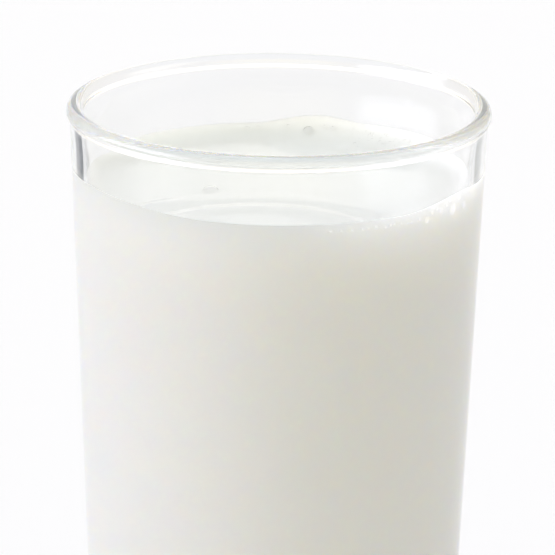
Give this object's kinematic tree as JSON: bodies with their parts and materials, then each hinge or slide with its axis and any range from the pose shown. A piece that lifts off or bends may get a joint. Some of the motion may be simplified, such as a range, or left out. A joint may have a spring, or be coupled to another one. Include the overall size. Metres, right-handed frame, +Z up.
{
  "type": "glass of milk",
  "caption": "Straight tapered clear drinking glass with a round beaded rim and a thick base, filled with milk to just below the rim.",
  "frame": {"origin": "centre of the foot, on the surface the glass stands on", "axes": "+Z up along the glass's axis; -Y towards the side the pour's rings lie at; +X to the right seen from there"},
  "size_m": [0.072, 0.072, 0.14],
  "materials": {
    "clear_glass": "clear, polished",
    "milk": "opaque white liquid, smooth and slightly glossy"
  },
  "bodies": {
    "root": {"glass": "clear_glass", "milk": "milk"}
  },
  "joints": []
}
